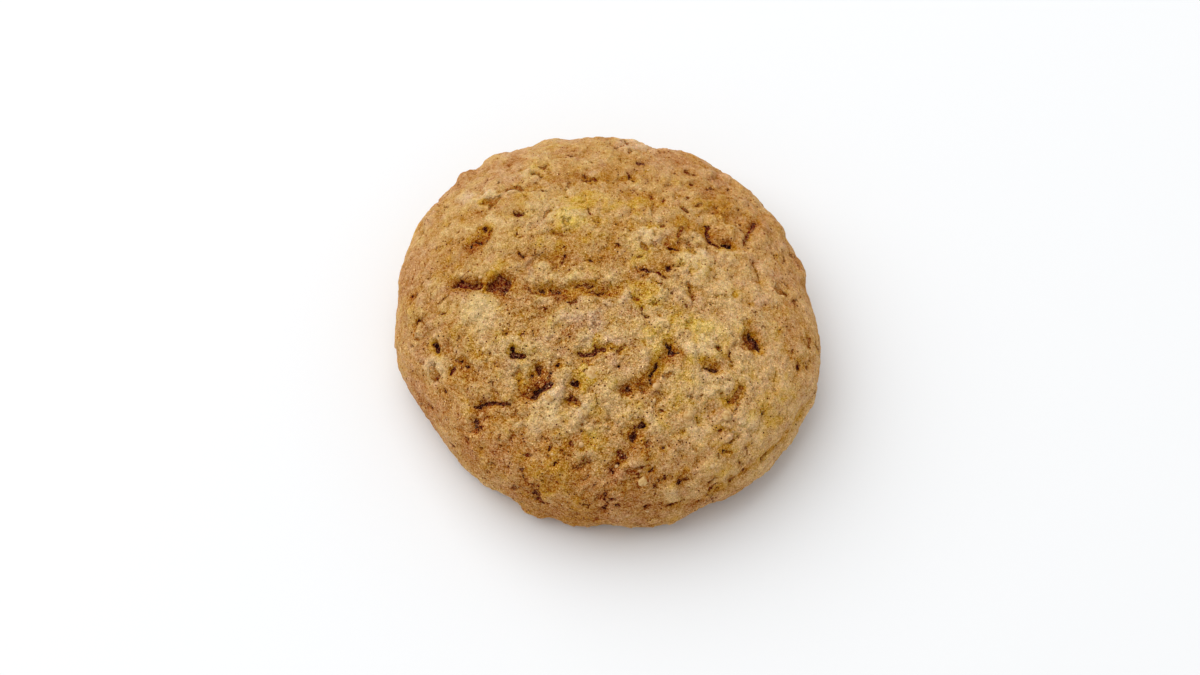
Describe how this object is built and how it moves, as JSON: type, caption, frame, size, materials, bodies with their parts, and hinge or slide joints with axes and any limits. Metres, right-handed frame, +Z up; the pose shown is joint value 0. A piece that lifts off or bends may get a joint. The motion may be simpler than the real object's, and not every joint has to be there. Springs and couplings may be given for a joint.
{
  "type": "walnut cookie",
  "caption": "Thick round baked cookie with a low domed, cracked and pitted crust, pieces of nut showing through it, and a flat browned underside it rests on.",
  "frame": {"origin": "middle of the flat underside's bounding rectangle, on the table", "axes": "+Z up from the flat underside to the crown; +Y to the cookie's back, away from the viewer of the picture; +X to the viewer's right"},
  "size_m": [0.0652, 0.065, 0.0229],
  "materials": {
    "baked_crust": "matt, dry and crumbly baked dough"
  },
  "bodies": {
    "root": {"cookie": "baked_crust"}
  },
  "joints": []
}
